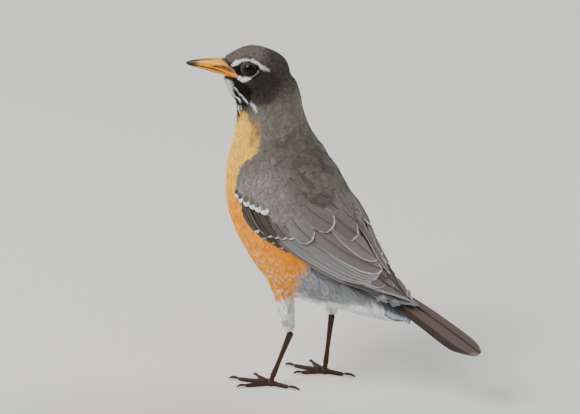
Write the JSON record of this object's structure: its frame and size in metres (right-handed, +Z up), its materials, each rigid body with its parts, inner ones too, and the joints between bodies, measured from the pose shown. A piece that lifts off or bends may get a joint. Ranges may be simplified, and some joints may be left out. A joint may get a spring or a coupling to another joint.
{
  "type": "american robin",
  "caption": "Songbird standing tall on thin legs, head turned to its left, wings folded over a straight tail.",
  "frame": {"origin": "middle of the bird's box, on the floor it stands on", "axes": "+Z up, the bird faces -X with its tail to +X, its left side towards -Y"},
  "size_m": [0.1772, 0.0668, 0.1994],
  "materials": {
    "plumage": "soft overlapping feathers",
    "flight_feathers": "smooth dark brown vanes with pale edges",
    "tail_feathers": "smooth brown-grey vanes",
    "bill": "satin yellow horn with a dark tip",
    "eye": "wet dark brown",
    "leg": "smooth dark reddish brown scutes",
    "claw": "dark horn"
  },
  "bodies": {
    "root": {"head": "plumage", "neck": "plumage", "trunk": "plumage", "upper_bill": "bill", "lower_bill": "bill", "left_eye": "eye", "right_eye": "eye", "left_wing_coverts": "plumage", "right_wing_coverts": "plumage", "left_wing_secondaries": "flight_feathers", "right_wing_secondaries": "flight_feathers", "left_wing_primaries": "flight_feathers", "right_wing_primaries": "flight_feathers", "tail": "tail_feathers", "left_thigh": "plumage", "left_shank": "leg", "left_foot": "leg", "left_middle_claw": "claw", "left_inner_claw": "claw", "left_outer_claw": "claw", "left_hind_claw": "claw", "right_thigh": "plumage", "right_shank": "leg", "right_foot": "leg", "right_middle_claw": "claw", "right_inner_claw": "claw", "right_outer_claw": "claw", "right_hind_claw": "claw"}
  },
  "joints": []
}
